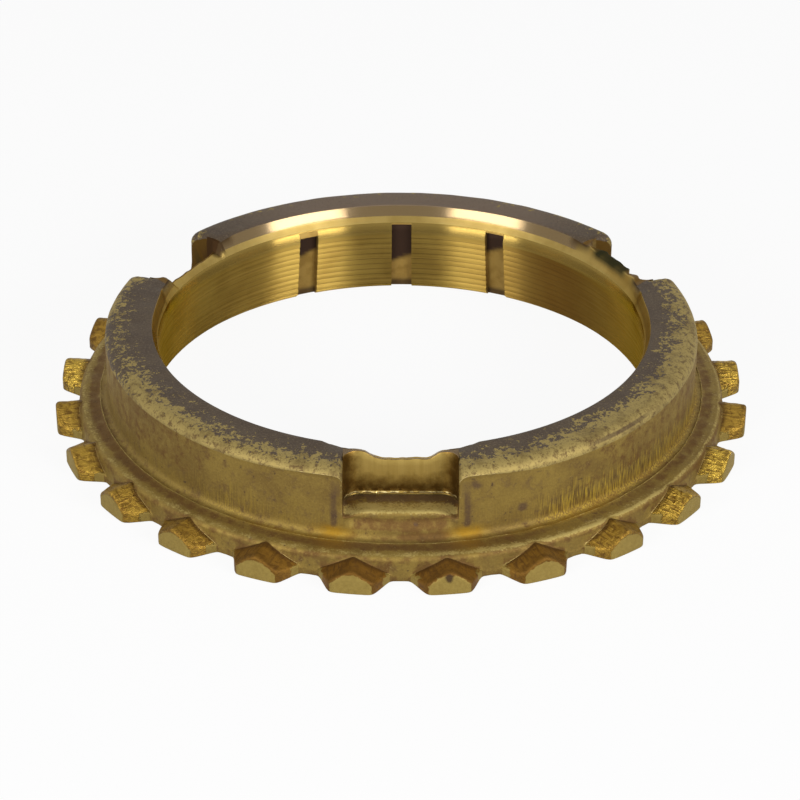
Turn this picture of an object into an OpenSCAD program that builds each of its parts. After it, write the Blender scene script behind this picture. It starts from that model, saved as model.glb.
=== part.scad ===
// Synchronizer ring: a one-piece brass ring with a tapered friction bore,
// pointed clutch teeth round its flange and key slots cut into its collar.
// The ring lies on its toothed face, with its axis along +Z.

/* [Friction bore] */
// Diameter of the friction cone at the toothed face
cone_d = 61.6; // [50:0.1:75]
// Half angle of the friction cone, degrees
cone_angle = 7; // [4:0.25:10]
// Height and width of the bevel at the wide mouth
mouth_bevel = 0.5; // [0.2:0.1:1]
// Height of the bevel at the narrow end
lead_bevel_h = 1.75; // [0.6:0.05:2.5]
// Angle of that bevel from the axis, degrees
lead_bevel_angle = 25; // [15:1:45]

/* [Oil grooves] */
// Grooves in each stretch of bore between two key slots
grooves_per_stretch = 3; // [1:1:5]
// Angle from one groove to the next, degrees
groove_step = 24; // [15:1:24]
// Width of a groove
groove_w = 2.65; // [1.5:0.05:4]
// Depth of a groove below the cone
groove_depth = 0.9; // [0.3:0.1:1.2]
// Plain cone left between a groove's blind end and the bevel
groove_land = 0.3; // [0.1:0.1:1.5]

/* [Collar and flange] */
// Wall of the collar at the wide mouth of the cone
collar_wall = 5.25; // [4:0.05:7]
// Height of the collar above the flange
collar_h = 8.85; // [7.5:0.05:12]
// Rounding of the collar's top outer edge
collar_round = 0.9; // [0.3:0.1:1.5]
// Fillet where the collar meets the flange
foot_fillet = 0.9; // [0.3:0.1:1.5]
// Width of the flange outside the collar
flange_w = 3.5; // [2.5:0.1:5]
// Thickness of the flange
flange_h = 3.2; // [2.5:0.05:4.5]
// Rounding of the flange's top outer edge
flange_round = 0.4; // [0.2:0.1:0.8]

/* [Clutch teeth] */
// Number of teeth
tooth_count = 24; // [18:3:30]
// Radial length of a tooth outside the flange
tooth_l = 2.95; // [2:0.05:4]
// Width of a tooth at its tip
tooth_tip_w = 4.7; // [3:0.1:5.2]
// Angle of each flank from the radial line, degrees
flank_angle = 28; // [15:1:32]
// Angle at which each pointed face falls away from the ridge, degrees
roof_angle = 33; // [25:1:40]
// Drop from the flange's top face to the ridge of a tooth
ridge_drop = 0.2; // [0.1:0.05:0.6]

/* [Key slots] */
// Number of key slots
slot_count = 3; // [2:1:3]
// Width of a slot
slot_w = 13; // [8:0.1:16]
// Depth of a slot below the collar's top face
slot_depth = 5.7; // [4:0.1:7]
// Wall left between the slot's floor corner and the cone
slot_wall = 1; // [0.8:0.05:2]
// Radius of the slot's two inner corners
slot_corner = 1.9; // [0.5:0.1:3]
// Depth of the dip in the top of the wall behind a slot
dip_depth = 1.2; // [0.5:0.1:2.5]
// Width of the dip at its flat bottom
dip_bottom_w = 6.4; // [3:0.1:7]
// Width of the dip at the collar's top face
dip_top_w = 11.6; // [8:0.1:13]

/* [Hidden] */
$fn = 180;

// How far a cutting shape runs past the face that it opens
overcut = 1;
// How far a tooth reaches into the flange that carries it
tooth_seat = 1.2;
// The first slot faces the front, -Y
front_angle = -90;

ring_h = flange_h + collar_h;
cone_r = cone_d / 2;
collar_r = cone_r + collar_wall;
root_r = collar_r + flange_w;
tip_r = root_r + tooth_l;

tooth_pitch = 360 / tooth_count;
ridge_z = flange_h - ridge_drop;
slot_pitch = 360 / slot_count;
slot_floor = ring_h - slot_depth;

// Radius of the friction cone at a height over the toothed face
function cone_r_at(z) = cone_r - z * tan(cone_angle);

lead_z = ring_h - lead_bevel_h;
lead_r = cone_r_at(lead_z);
lead_top_r = lead_r + lead_bevel_h * tan(lead_bevel_angle);
slot_wall_r = cone_r_at(slot_floor) + slot_wall;

// A square corner piece with its rounded side towards +X and +Y
module fillet_corner(r) {
    difference() {
        square(r);
        translate([r, r]) circle(r);
    }
}

// Right half of the ring's section, cut through the axis
module ring_section() {
    difference() {
        union() {
            square([collar_r, ring_h]);
            square([root_r, flange_h]);
            translate([collar_r, flange_h]) fillet_corner(foot_fillet);
        }
        translate([collar_r, ring_h]) rotate(180) fillet_corner(collar_round);
        translate([root_r, flange_h]) rotate(180) fillet_corner(flange_round);
        bore_section();
    }
}

// What the bore takes out of that section: cone, mouth bevel and lead bevel
module bore_section() {
    mouth_r = cone_r_at(mouth_bevel) + mouth_bevel;
    polygon([
        [0, -overcut],
        [mouth_r + overcut, -overcut],
        [cone_r_at(mouth_bevel), mouth_bevel],
        [lead_r, lead_z],
        [lead_top_r, ring_h],
        [lead_top_r, ring_h + overcut],
        [0, ring_h + overcut]
    ]);
}

// One pointed tooth along +X: a tapering plan cut to a ridged, roof-like top
module tooth() {
    spread = tan(flank_angle);
    seat_r = root_r - tooth_seat;
    reach_r = tip_r + overcut;
    tip_half = tooth_tip_w / 2;
    seat_half = tip_half + (tip_r - seat_r) * spread;
    reach_half = tip_half - (reach_r - tip_r) * spread;
    eaves_z = ridge_z - seat_half * tan(roof_angle);
    low_z = min(0, eaves_z) - overcut;
    intersection() {
        linear_extrude(ridge_z)
            polygon([
                [seat_r, -seat_half],
                [reach_r, -reach_half],
                [reach_r, reach_half],
                [seat_r, seat_half]
            ]);
        translate([seat_r, 0, 0]) rotate([90, 0, 90])
            linear_extrude(reach_r - seat_r)
                polygon([
                    [-seat_half, low_z],
                    [seat_half, low_z],
                    [seat_half, eaves_z],
                    [0, ridge_z],
                    [-seat_half, eaves_z]
                ]);
        cylinder(h = ridge_z, r = tip_r);
    }
}

// Plan of one key slot along +X, square at the collar and rounded inside
module slot_plan() {
    half = slot_w / 2;
    difference() {
        translate([slot_wall_r, -half]) square([tip_r - slot_wall_r, slot_w]);
        translate([slot_wall_r, -half]) fillet_corner(slot_corner);
        translate([slot_wall_r, half]) mirror([0, 1]) fillet_corner(slot_corner);
    }
}

// One key slot along +X, with the dip in the thin wall behind it
module key_slot() {
    dip_slope = (dip_top_w - dip_bottom_w) / 2 / dip_depth;
    low_half = dip_bottom_w / 2;
    high_half = dip_top_w / 2 + overcut * dip_slope;
    translate([0, 0, slot_floor]) linear_extrude(slot_depth + overcut) slot_plan();
    translate([lead_r - overcut, 0, ring_h]) rotate([90, 0, 90])
        linear_extrude(slot_wall_r + slot_corner - lead_r + overcut)
            polygon([
                [-low_half, -dip_depth],
                [low_half, -dip_depth],
                [high_half, overcut],
                [-high_half, overcut]
            ]);
}

// One straight oil groove along +X, sunk below the cone and sloped like it,
// open at the wide mouth and blind under the bevel
module oil_groove() {
    length = (lead_z - groove_land) / cos(cone_angle);
    translate([cone_r, 0, 0]) rotate([0, -cone_angle, 0])
        translate([-overcut, -groove_w / 2, -overcut])
            cube([overcut + groove_depth, groove_w, overcut + length]);
}

module synchronizer_ring() {
    color("darkgoldenrod")
    difference() {
        union() {
            rotate_extrude() ring_section();
            for (i = [0 : tooth_count - 1])
                rotate(front_angle + (i + 0.5) * tooth_pitch) tooth();
        }
        for (s = [0 : slot_count - 1])
            rotate(front_angle + s * slot_pitch) {
                key_slot();
                for (g = [0 : grooves_per_stretch - 1])
                    rotate(slot_pitch / 2 + (g - (grooves_per_stretch - 1) / 2) * groove_step)
                        oil_groove();
            }
    }
}

synchronizer_ring();
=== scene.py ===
"""Looks of a brass synchronizer ring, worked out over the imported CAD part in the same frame.

Lengths are in millimetres and angles in degrees until the mesh is put into metres.
"""

import bpy
import numpy as np
from mathutils import Matrix
from mathutils import Vector


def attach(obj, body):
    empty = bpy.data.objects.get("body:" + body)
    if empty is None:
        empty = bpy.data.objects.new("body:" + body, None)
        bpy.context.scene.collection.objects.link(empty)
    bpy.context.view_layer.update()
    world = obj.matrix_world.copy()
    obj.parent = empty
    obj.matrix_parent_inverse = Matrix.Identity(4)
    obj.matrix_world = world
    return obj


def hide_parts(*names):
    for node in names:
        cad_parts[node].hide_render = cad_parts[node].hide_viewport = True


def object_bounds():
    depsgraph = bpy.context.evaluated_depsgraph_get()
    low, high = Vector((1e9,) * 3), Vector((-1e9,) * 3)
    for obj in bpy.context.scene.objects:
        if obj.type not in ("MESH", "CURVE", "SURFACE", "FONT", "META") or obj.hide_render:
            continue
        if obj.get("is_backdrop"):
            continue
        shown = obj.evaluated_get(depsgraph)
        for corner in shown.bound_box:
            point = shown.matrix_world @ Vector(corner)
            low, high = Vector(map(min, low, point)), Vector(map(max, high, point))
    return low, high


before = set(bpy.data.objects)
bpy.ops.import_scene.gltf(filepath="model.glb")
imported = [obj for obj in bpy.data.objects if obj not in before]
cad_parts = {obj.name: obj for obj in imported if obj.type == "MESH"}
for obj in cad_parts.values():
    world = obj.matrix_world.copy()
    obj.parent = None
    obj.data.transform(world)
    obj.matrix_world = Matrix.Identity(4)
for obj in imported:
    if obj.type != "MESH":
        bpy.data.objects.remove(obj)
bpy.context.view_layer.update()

# Forged blank
# The ring is one forging of yellow brass, then turned, broached and milled.
# Its skin is one closed grid: stations round the axis by points round the section.
FRONT = -90.0
TEETH = 24
SLOTS = 3
GROOVES = 3  # in each stretch between two slots
GROOVE_STEP = 24.0
TOOTH_PITCH = 360 / TEETH
CONE_R = 30.8
SLOT_HALF = 6.5
GROOVE_HALF = 1.325
FAN_R = 37.0  # radius at which the stations are spaced across a slot
SAME_STATION = 0.08  # degrees within which two stations count as one
FAN_FROM = 11.6  # degrees from a slot's middle at which the stations begin to turn radial
FAN_TO = 19


def ease(low, high, value):
    """0 below low, 1 above high, and the smooth cubic 3s^2 - 2s^3 between them."""
    s = np.clip((value - low) / (high - low), 0, 1)
    return s * s * (3 - 2 * s)


def both_ways(steps):
    """The steps to either side of a middle, from the lowest to the highest."""
    return np.concatenate([-steps[::-1], steps])


slot_at = FRONT + 360 / SLOTS * np.arange(SLOTS)
groove_turn = 180 / SLOTS + GROOVE_STEP * (np.arange(GROOVES) - (GROOVES - 1) / 2)
groove_at = (slot_at[:, None] + groove_turn).ravel()
tooth_at = FRONT + TOOTH_PITCH * (np.arange(TEETH) + 0.5)

tooth_steps = np.array([0.3, 1.2, 2.2, 2.85, 3.15, 3.45, 3.9, 4.7, 5.4, 5.8, 6.15])
slot_steps = np.array([
    0.25, 0.7, 1.2, 1.6, 2.1, 2.5, 3.0, 3.4, 3.9, 4.4, 4.8, 5.2, 5.6, 5.9, 6.15, 6.35, 6.49,
])
slot_brink = np.array([6.51, 6.56, 6.66, 6.8, 6.95, 7.3, 7.7, 8.2])
groove_steps = np.array([1.2, 1.31, 1.34, 1.5])

tooth_turn = np.concatenate([both_ways(tooth_steps), [0, TOOTH_PITCH / 2]])
slot_turn = both_ways(np.concatenate([slot_steps, slot_brink]))
slot_turn = np.degrees(np.arcsin(slot_turn / FAN_R))
groove_half_turn = both_ways(np.degrees(groove_steps / CONE_R))
set_stations = np.concatenate([
    (slot_at[:, None] + slot_turn).ravel(),
    (groove_at[:, None] + groove_half_turn).ravel(),
]) % 360
free_stations = (tooth_at[:, None] + tooth_turn).ravel() % 360
apart = np.abs((free_stations[:, None] - set_stations + 180) % 360 - 180)
free_stations = free_stations[apart.min(axis=1) > SAME_STATION]
station = np.sort(np.concatenate([set_stations, free_stations]))
stations = len(station)

slot_off = (station[:, None] - slot_at + 180) % 360 - 180
slot_no = np.abs(slot_off).argmin(axis=1)
slot_off = slot_off[np.arange(stations), slot_no]
across = FAN_R * np.sin(np.radians(slot_off))
in_slot = np.abs(across) < SLOT_HALF
radial = ease(FAN_FROM, FAN_TO, np.abs(slot_off))

groove_off = (station[:, None] - groove_at + 180) % 360 - 180
groove_no = np.abs(groove_off).argmin(axis=1)
groove_off = groove_off[np.arange(stations), groove_no]
in_groove = np.abs(np.radians(groove_off)) * CONE_R < GROOVE_HALF

# Friction bore
# The 7 degree cone is turned, cut with a fine thread that wipes off the oil,
# and crossed by nine milled oil grooves, blind under the bevel at the narrow end.
CONE_SLOPE = np.tan(np.radians(7))
THREAD_PITCH = 0.8
THREAD_DEPTH = 0.15
THREAD_LOW = 0.5
THREAD_HIGH = 8.5
THREAD_FADE_IN = 0.2
THREAD_FADE_OUT = 0.3
GROOVE_DEPTH = 0.9
GROOVE_END = 9.7
BELOW_END = 0.15  # the rows of the thread stop this far under a groove's end
SLIVER = 0.004  # least step between rows that are squeezed together

thread_phase = np.array([0, 0.42, 0.78, 0.83, 0.89, 0.97, 1])
thread_form = np.array([0, 0, 0.9, 1, 1, 0, 0])
groove_end = np.array([9.7, 9.75, 9.6, 9.7, 9.78, 9.2, 9.6, 9.75, 9.7])

seam_no = 1
climb = (station - groove_at[seam_no]) % 360 / 360
seam_half = np.degrees(GROOVE_HALF / CONE_R)
in_seam = in_groove & (groove_no == seam_no)
climb_in_seam = 0.5 - (0.5 - seam_half / 360) * groove_off / seam_half
climb = np.where(in_seam, climb_in_seam, climb)

blind_z = np.where(in_groove, groove_end[groove_no], GROOVE_END)
thread_top = np.where(in_groove, np.minimum(THREAD_HIGH, blind_z - BELOW_END), THREAD_HIGH)


def cone(z):
    """Radius of the friction cone at height z: it narrows upwards at the cone's half angle."""
    return CONE_R - z * CONE_SLOPE


def rows(r, z):
    """One band of the section as a pair of arrays, stations by points."""
    r, z = np.broadcast_arrays(r, z)
    shape = (stations, r.shape[-1])
    return np.broadcast_to(r, shape).copy(), np.broadcast_to(z, shape).copy()


turns = int(np.ceil((THREAD_HIGH - THREAD_LOW) / THREAD_PITCH)) + 1
thread_step = (np.arange(turns)[:, None] + thread_phase[:-1]).ravel() - 1
thread_count = len(thread_step)
thread_z = THREAD_LOW + THREAD_PITCH * (thread_step + climb[:, None])
rising = SLIVER * (1 + np.arange(thread_count))
thread_z = np.maximum(thread_z, THREAD_LOW + rising)
thread_z = np.minimum(thread_z, thread_top[:, None] - rising[::-1])
turned = (thread_z - THREAD_LOW) / THREAD_PITCH - climb[:, None]
thread_cut = np.interp(turned % 1, thread_phase, thread_form)
thread_cut *= ease(THREAD_LOW, THREAD_LOW + THREAD_FADE_IN, thread_z)
thread_cut *= 1 - ease(THREAD_HIGH - THREAD_FADE_OUT, THREAD_HIGH, thread_z)
thread_cut *= ~in_groove[:, None]
thread_r = cone(thread_z) + THREAD_DEPTH * thread_cut
thread_r += GROOVE_DEPTH * in_groove[:, None]

mouth_z = np.array([0.03, 0.12, 0.28, 0.42, 0.49])
mouth_r = np.array([31.33, 31.24, 31.05, 30.87, 30.76])
mouth_r, mouth_z = rows(mouth_r, mouth_z)
mouth_r = np.where(in_groove[:, None], np.maximum(mouth_r, cone(mouth_z) + GROOVE_DEPTH), mouth_r)

# Key slots
# Three slots 13 mm wide are broached into the collar for the sliding keys.
# They leave a thin wall towards the bore, with a dipped top and a burr at its foot.
RING_H = 12.05
COLLAR_R = 36.05
WAVES = 12
WAVE_SUM = 4.5  # brings the sum of the waves to about 1
SLOT_FLOOR = 6.35
SLOT_CORNER = 1.9
WALL_X = 31.02
WALL_EDGE_R = 32.0
WALL_LOW = 0.12
WALL_RAGGED = 0.06
WALL_SLOPE = 0.42
BRINK_ROUND = 0.42
FLOOR_CORNER = 0.4
SCOOP = 0.5
FACE_FOOT = 0.36
FLOOR_START = 0.5
FLOOR_END = 0.6
EDGE_W = 0.55
EDGE_H = 0.42
FLOOR_CROWN = 0.25
EDGE_DROOP = 0.4
HAIR = 0.02  # step that keeps two edges apart
LEAD_R = 29.55
LEAD_Z = 10.25
LAND_FLARE = 0.1
BEND_R = 29.85
BEND_Z = 10.95
CREST_R = 30.28
CREST_Z = 11.92
LIP_TURN_R = 30.34
LIP_R = 30.45
LIP_WALL = 0.25
BACK_FLARE = 0.4  # this and the next six: how much deeper the bevel is at the back
BACK_LEAD_DROP = 0.35
BACK_BEND_OUT = 0.85
BACK_BEND_DROP = 0.25
BACK_CREST_OUT = 0.92
BACK_CREST_DROP = 0.1
BACK_LIP_OUT = 0.9
dip_depth = np.array([1.1, 0.2, 1.35])[slot_no]
dip_from = np.array([-4.9, -5.2, -6.2])[slot_no]
dip_flat_from = np.array([-2.0, -3.4, -5.6])[slot_no]
dip_flat_to = np.array([2.8, 3.4, 4.2])[slot_no]
dip_to = np.array([5.1, 5.2, 5.6])[slot_no]


def uneven(x, y, z, size, seed):
    """Unevenness from about -1 to 1: the sum of WAVES sine waves about size long in seeded directions."""
    draw = np.random.default_rng(seed)
    heading = draw.normal(size=(WAVES, 3))
    heading /= np.linalg.norm(heading, axis=1)[:, None]
    turns = draw.uniform(0.7, 1.5, WAVES) / size
    phase = draw.uniform(0, 2 * np.pi, WAVES)
    total = np.zeros(np.broadcast(x, y, z).shape)
    for (a, b, c), turn, start in zip(heading, turns, phase):
        total += np.sin(2 * np.pi * turn * (a * x + b * y + c * z) + start)
    return total / WAVE_SUM


side = np.abs(across)
dipping = ease(dip_from, dip_flat_from, across) * (1 - ease(dip_flat_to, dip_to, across))
sinking = (1 - 0.25 * ease(4.5, 6.5, side)) * (1 - ease(6.5, 10.5, side))
wall_top = RING_H - dip_depth * dipping - WALL_LOW * (1 - ease(6.2, 7.5, side))
wall_top += WALL_RAGGED * uneven(across, 0 * across, slot_no, 1.3, 31) * (1 - ease(5.5, 6.5, side))
corner_in = np.clip(side - (SLOT_HALF - SLOT_CORNER), 0, SLOT_CORNER)
wall_x = WALL_X + SLOT_CORNER - np.sqrt(SLOT_CORNER ** 2 - corner_in ** 2)
wall_r = np.hypot(wall_x, across)


def dip_z(r):
    """Height of the wall's top at radius r: it falls towards the bore from the wall's outer edge."""
    edge_r = np.where(in_slot, np.minimum(wall_r, WALL_EDGE_R), WALL_EDGE_R)[:, None]
    fall = WALL_SLOPE * sinking[:, None] * np.maximum(edge_r - r, 0)
    return wall_top[:, None] - fall


# The bevel was struck deeper at the back of the ring than at its front
deeper = (ease(6, 30, station) * (1 - ease(150, 176, station)))[:, None]
land_flare = LAND_FLARE + BACK_FLARE * deeper
below_dip = dip_z(np.full((stations, 1), LEAD_R))[:, 0] - HAIR
lead_z = np.minimum(LEAD_Z - BACK_LEAD_DROP * deeper[:, 0], below_dip)
land = np.array([0.0, 0.4, 1.0])
land_low_z = thread_top[:, None] + (blind_z[:, None] - HAIR - thread_top[:, None]) * land
land_high_z = blind_z[:, None] + HAIR + (lead_z[:, None] - blind_z[:, None] - HAIR) * land
land_z = np.concatenate([land_low_z, land_high_z], axis=1)
land_cap = lead_z[:, None] - SLIVER * np.arange(6, 0, -1)
land_z = np.where(in_slot[:, None], np.minimum(land_z, land_cap), land_z)
flare = np.clip((land_z - thread_top[:, None]) / (lead_z - thread_top)[:, None], 0, 1)
land_r = cone(land_z) + land_flare * flare ** 2
land_r += GROOVE_DEPTH * (in_groove[:, None] & (land_z < blind_z[:, None]))

bend_r = BEND_R + BACK_BEND_OUT * deeper
bend_z = BEND_Z - BACK_BEND_DROP * deeper
crest_end_r = CREST_R + BACK_CREST_OUT * deeper
crest_end_z = CREST_Z - BACK_CREST_DROP * deeper
lip_turn_r = LIP_TURN_R + BACK_CREST_OUT * deeper
lip_high_r = LIP_R + BACK_LIP_OUT * deeper[:, 0]
lip_high_r = np.where(in_slot, np.minimum(lip_high_r, wall_r - LIP_WALL), lip_high_r)
lead_r = cone(lead_z)[:, None] + land_flare
bevel_share = np.array([0.12, 0.4, 0.7, 1.0])
bevel_r = lead_r + (bend_r - lead_r) * bevel_share
bevel_z = lead_z[:, None] + (bend_z - lead_z[:, None]) * bevel_share
crest = np.array([0.35, 0.7, 1.0])
crest_r = bend_r + (crest_end_r - bend_r) * crest
crest_z = bend_z + (crest_end_z - bend_z) * crest
bow = np.array([0.4, 0.75, 1.0])
lip_r = (1 - bow) ** 2 * crest_end_r + 2 * bow * (1 - bow) * lip_turn_r + bow ** 2 * lip_high_r[:, None]
lip_z = (1 - bow) ** 2 * crest_end_z + (1 - (1 - bow) ** 2) * RING_H
lead_rows_r = np.concatenate([bevel_r, crest_r, lip_r], axis=1)
lead_rows_z = np.concatenate([bevel_z, crest_z, lip_z], axis=1)
lead_rows_r = np.minimum(lead_rows_r, lip_high_r[:, None] - HAIR * np.arange(9, -1, -1))
lead_rows_z = np.minimum(lead_rows_z, dip_z(lead_rows_r))

# Section of a slot, from the wall's top down to the burr, over the floor and its worn outer edge
right = slot_no == 1
lump = right * ease(-3.6, -2.2, across) * (1 - ease(3.2, 5.0, across))
lump *= 0.95 + 0.12 * uneven(across, 0 * across, 0 * across, 1.6, 33)
nub = right * np.exp(-((across + 4.5) / 0.8) ** 2)
proud = lump + 0.7 * nub
wall_top_r = np.hypot(wall_x + 0.9 * proud, across)
burr = 0.55 + 0.5 * uneven(across, 0 * across, 3.0 * slot_no, 1.4, 7)
burr += 0.4 * uneven(across, 0 * across, 3.0 * slot_no, 0.8, 17)
burr = np.maximum(burr, 0.1) * (1 - 0.35 * ease(4.6, 6.4, side))
cap_r = lip_high_r[:, None] + (wall_top_r - lip_high_r)[:, None] * np.array([0.5, 0.95])
cap_z = dip_z(cap_r)
face_share = np.array([0.02, 0.2, 0.45, 0.7, 0.9, 1])
face_z = wall_top[:, None] + (SLOT_FLOOR + FACE_FOOT - wall_top[:, None]) * face_share
face_x = wall_x[:, None] + proud[:, None] * ease(8.4, 10.4, face_z)
burr_x = wall_x[:, None] + burr[:, None] * np.array([0.17, 0.22, 0.1])
burr_z = SLOT_FLOOR + np.array([0.25, 0.13, 0.02]) + 0 * burr_x
drain_x = wall_x[:, None] + np.array([0.12, 0.75]) + 0 * burr_x[:, :2]
drain_z = SLOT_FLOOR + np.array([-0.14, -0.07]) + 0 * drain_x
inner_x = np.concatenate([face_x, burr_x, drain_x], axis=1)
inner_r = np.hypot(inner_x, across[:, None])
floor_from = inner_r[:, -1:] + FLOOR_START
floor_r = floor_from + (COLLAR_R - FLOOR_END - floor_from) * np.linspace(0, 1, 5)
floor_corner = np.clip(side - SLOT_HALF + FLOOR_CORNER, 0, FLOOR_CORNER)
corner_rise = FLOOR_CORNER - np.sqrt(FLOOR_CORNER ** 2 - floor_corner ** 2)
corner_rise = np.where(in_slot, corner_rise, 0)[:, None]
drain_z += 0.8 * corner_rise
floor_z = SLOT_FLOOR + corner_rise + 0 * floor_r
edge_turn = np.radians(np.array([20, 42, 64, 90]))
edge_r = COLLAR_R - EDGE_W + EDGE_W * np.sin(edge_turn) + 0 * burr_x[:, :1]
edge_z = SLOT_FLOOR - EDGE_H + (EDGE_H + corner_rise) * np.cos(edge_turn) + 0 * edge_r
scoop = SCOOP * (1 - ease(5.0, 6.4, side))[:, None]
floor_r -= scoop * np.linspace(0, 1, 5)
edge_r = edge_r - scoop
crown_up = FLOOR_CROWN * (1 - ease(3.0, 6.0, side))[:, None]
droop = EDGE_DROOP * ease(3.8, 6.3, side)[:, None]
floor_z += crown_up * np.array([0, 0.2, 0.5, 0.8, 1]) - droop * np.array([0, 0, 0.1, 0.4, 0.8])
edge_z += crown_up * np.array([1, 0.9, 0.7, 0.4]) - droop * np.array([1, 0.9, 0.7, 0.35])
slot_r = np.concatenate([cap_r, inner_r, floor_r, edge_r], axis=1)
slot_z = np.concatenate([cap_z, face_z, burr_z, drain_z, floor_z, edge_z], axis=1)

# Collar
# The collar stands on the flange with its forged skin left on: a scaled flat top,
# a broad worn rounding and a side that was only wiped by the trimming die.
ROUND_W = 1.5
ROUND_H = 0.74
SOFT_H = 1.35
SHOULDER_TURN = np.radians(56)
CORNER_ROUND = 1.15
FOOT_Z = 4.4
FOOT_PULL_Z = 3.7
FOOT_END_R = 36.9
FOOT_END_Z = 3.36
FOOT_BOW_R = 36.3
FOOT_BOW_Z = 3.3
top_r = lip_high_r[:, None] + (COLLAR_R - ROUND_W - lip_high_r)[:, None] * np.linspace(0.12, 1, 7)
top_z = np.minimum(RING_H, dip_z(top_r))
round_turn = np.radians(np.array([11, 22, 33, 44, 54]))
round_r = COLLAR_R - ROUND_W + ROUND_W * np.sin(round_turn) / np.sin(SHOULDER_TURN)
round_z = RING_H - ROUND_H * (1 - np.cos(round_turn)) / (1 - np.cos(SHOULDER_TURN))
crisp_r = np.append(round_r, [COLLAR_R - 0.01, COLLAR_R + 0.03])
crisp_z = np.append(round_z, [11.31, 11.24])
crisp_wall_z = np.array([11.14, 10.7, 10.0, 9.2, 8.4, 7.6, 6.9, 6.35])
soft_turn = np.radians(np.array([13, 26, 39, 52, 65, 77, 86]))
soft_r = COLLAR_R - ROUND_W + ROUND_W * np.sin(soft_turn)
soft_z = RING_H - SOFT_H * (1 - np.cos(soft_turn))
soft_wall_z = np.array([10.66, 10.35, 9.8, 9.1, 8.4, 7.6, 6.9, 6.35])
front_off = (station - FRONT + 180) % 360 - 180
softness = (ease(12, 28, front_off) + 0.6 * ease(12, 30, -front_off))[:, None]
round_r = crisp_r + (soft_r - crisp_r) * softness
round_z = crisp_z + (soft_z - crisp_z) * softness
side_z = crisp_wall_z + (soft_wall_z - crisp_wall_z) * softness
side_r = COLLAR_R + 0 * side_z
collar_r = np.concatenate([top_r, round_r, side_r], axis=1)
collar_z = np.concatenate([top_z, round_z, side_z], axis=1)
brink = np.clip(BRINK_ROUND - (side - SLOT_HALF), 0, BRINK_ROUND)
brink_fall = BRINK_ROUND - np.sqrt(BRINK_ROUND ** 2 - brink ** 2)
over_floor = ease(SLOT_FLOOR, SLOT_FLOOR + 1.2, collar_z)
outward = ease(COLLAR_R - ROUND_W, COLLAR_R, collar_r)
past_wall = ease(32.4, 33.4, collar_r)
collar_r -= brink_fall[:, None] * outward * over_floor
collar_z -= brink_fall[:, None] * (1 - outward) * past_wall
corner_near = np.clip(CORNER_ROUND - (side - SLOT_HALF), 0, CORNER_ROUND)
corner_fall = CORNER_ROUND - np.sqrt(CORNER_ROUND ** 2 - corner_near ** 2)
collar_z -= corner_fall[:, None] * ease(33.4, 35.8, collar_r) * ease(8.8, 11.2, collar_z)
crown_r = np.where(in_slot[:, None], slot_r, collar_r)
crown_z = np.where(in_slot[:, None], slot_z, collar_z)

foot_r, foot_z = rows(COLLAR_R, np.array([5.7, 5.4, 5.1, 4.8, 4.55]))
foot_r -= scoop * ease(4.3, 5.6, foot_z)
sweep = np.array([0.06, 0.22, 0.4, 0.58, 0.78, 1.0])


def foot_curve(start, pull, bow, end):
    """Cubic Bezier at the shares in sweep: it leaves start towards pull and comes to end from bow."""
    left = 1 - sweep
    return left ** 3 * start + 3 * left ** 2 * sweep * pull + 3 * left * sweep ** 2 * bow + sweep ** 3 * end


# The concave foot ends on a thin raised edge left by the trimming die
fillet_r, fillet_z = rows(
    foot_curve(COLLAR_R, COLLAR_R, FOOT_BOW_R, FOOT_END_R),
    foot_curve(FOOT_Z, FOOT_PULL_Z, FOOT_BOW_Z, FOOT_END_Z))

# Flange and clutch teeth
# The flange carries 24 pointed teeth, forged with it and then trimmed in a die,
# so their roofs are torn and rough while the sheared ends are smooth.
FLANGE_H = 3.2
ROOT_R = 39.55
TIP_R = 42.5
FLANK = np.tan(np.radians(26))
TIP_HALF = 2.55
FLANGE_ROUND = 0.65
EAVES_ROOT = 1.12
EAVES_TIP = 1.42
TIP_CORNER = 0.34
ROOT_CORNER = 0.25
RIDGE_Z = 3.02
RIDGE_HIGHER = 0.15  # on all teeth but the two beside the front slot's middle
GAP_Z = 1.0
NOSE_ROUND = 0.42
END_LOW = 0.14
draw = np.random.default_rng(11)
tooth_no = np.floor((station - FRONT) / TOOTH_PITCH).astype(int) % TEETH
tooth_off = (station - FRONT) % TOOTH_PITCH - TOOTH_PITCH / 2
ridge_z = RIDGE_Z + draw.uniform(-0.08, 0.05, TEETH)[tooth_no]
ridge_z += RIDGE_HIGHER * ((tooth_no > 0) & (tooth_no < TEETH - 1))
tip_r = TIP_R - draw.uniform(0.0, 0.1, TEETH)[tooth_no]
tip_half = TIP_HALF + draw.uniform(-0.08, 0.06, TEETH)[tooth_no]
eaves_off = draw.uniform(-0.1, 0.1, TEETH)[tooth_no]
ridge_off = draw.uniform(-0.12, 0.12, TEETH)[tooth_no]


def soft_least(a, b, blend):
    """The lesser of a and b, with the corner between them rounded over about blend."""
    return -blend * np.logaddexp(-a / blend, -b / blend)


ledge_r = np.array([36.98, 37.1, 37.5, 38.0, 38.5])
ledge_r, ledge_z = rows(ledge_r, np.array([3.41, 3.36, 3.31, 3.26, 3.22]))
off_sin = np.sin(np.radians(np.abs(tooth_off)))
off_cos = np.cos(np.radians(tooth_off))
flank_r = (tip_half + tip_r * FLANK) / (off_sin + FLANK * off_cos)
out_r = soft_least(tip_r, flank_r, TIP_CORNER)
out_r = -soft_least(-out_r, np.full(stations, -ROOT_R), ROOT_CORNER)
reach = np.maximum(out_r - ROOT_R, 0)


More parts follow.
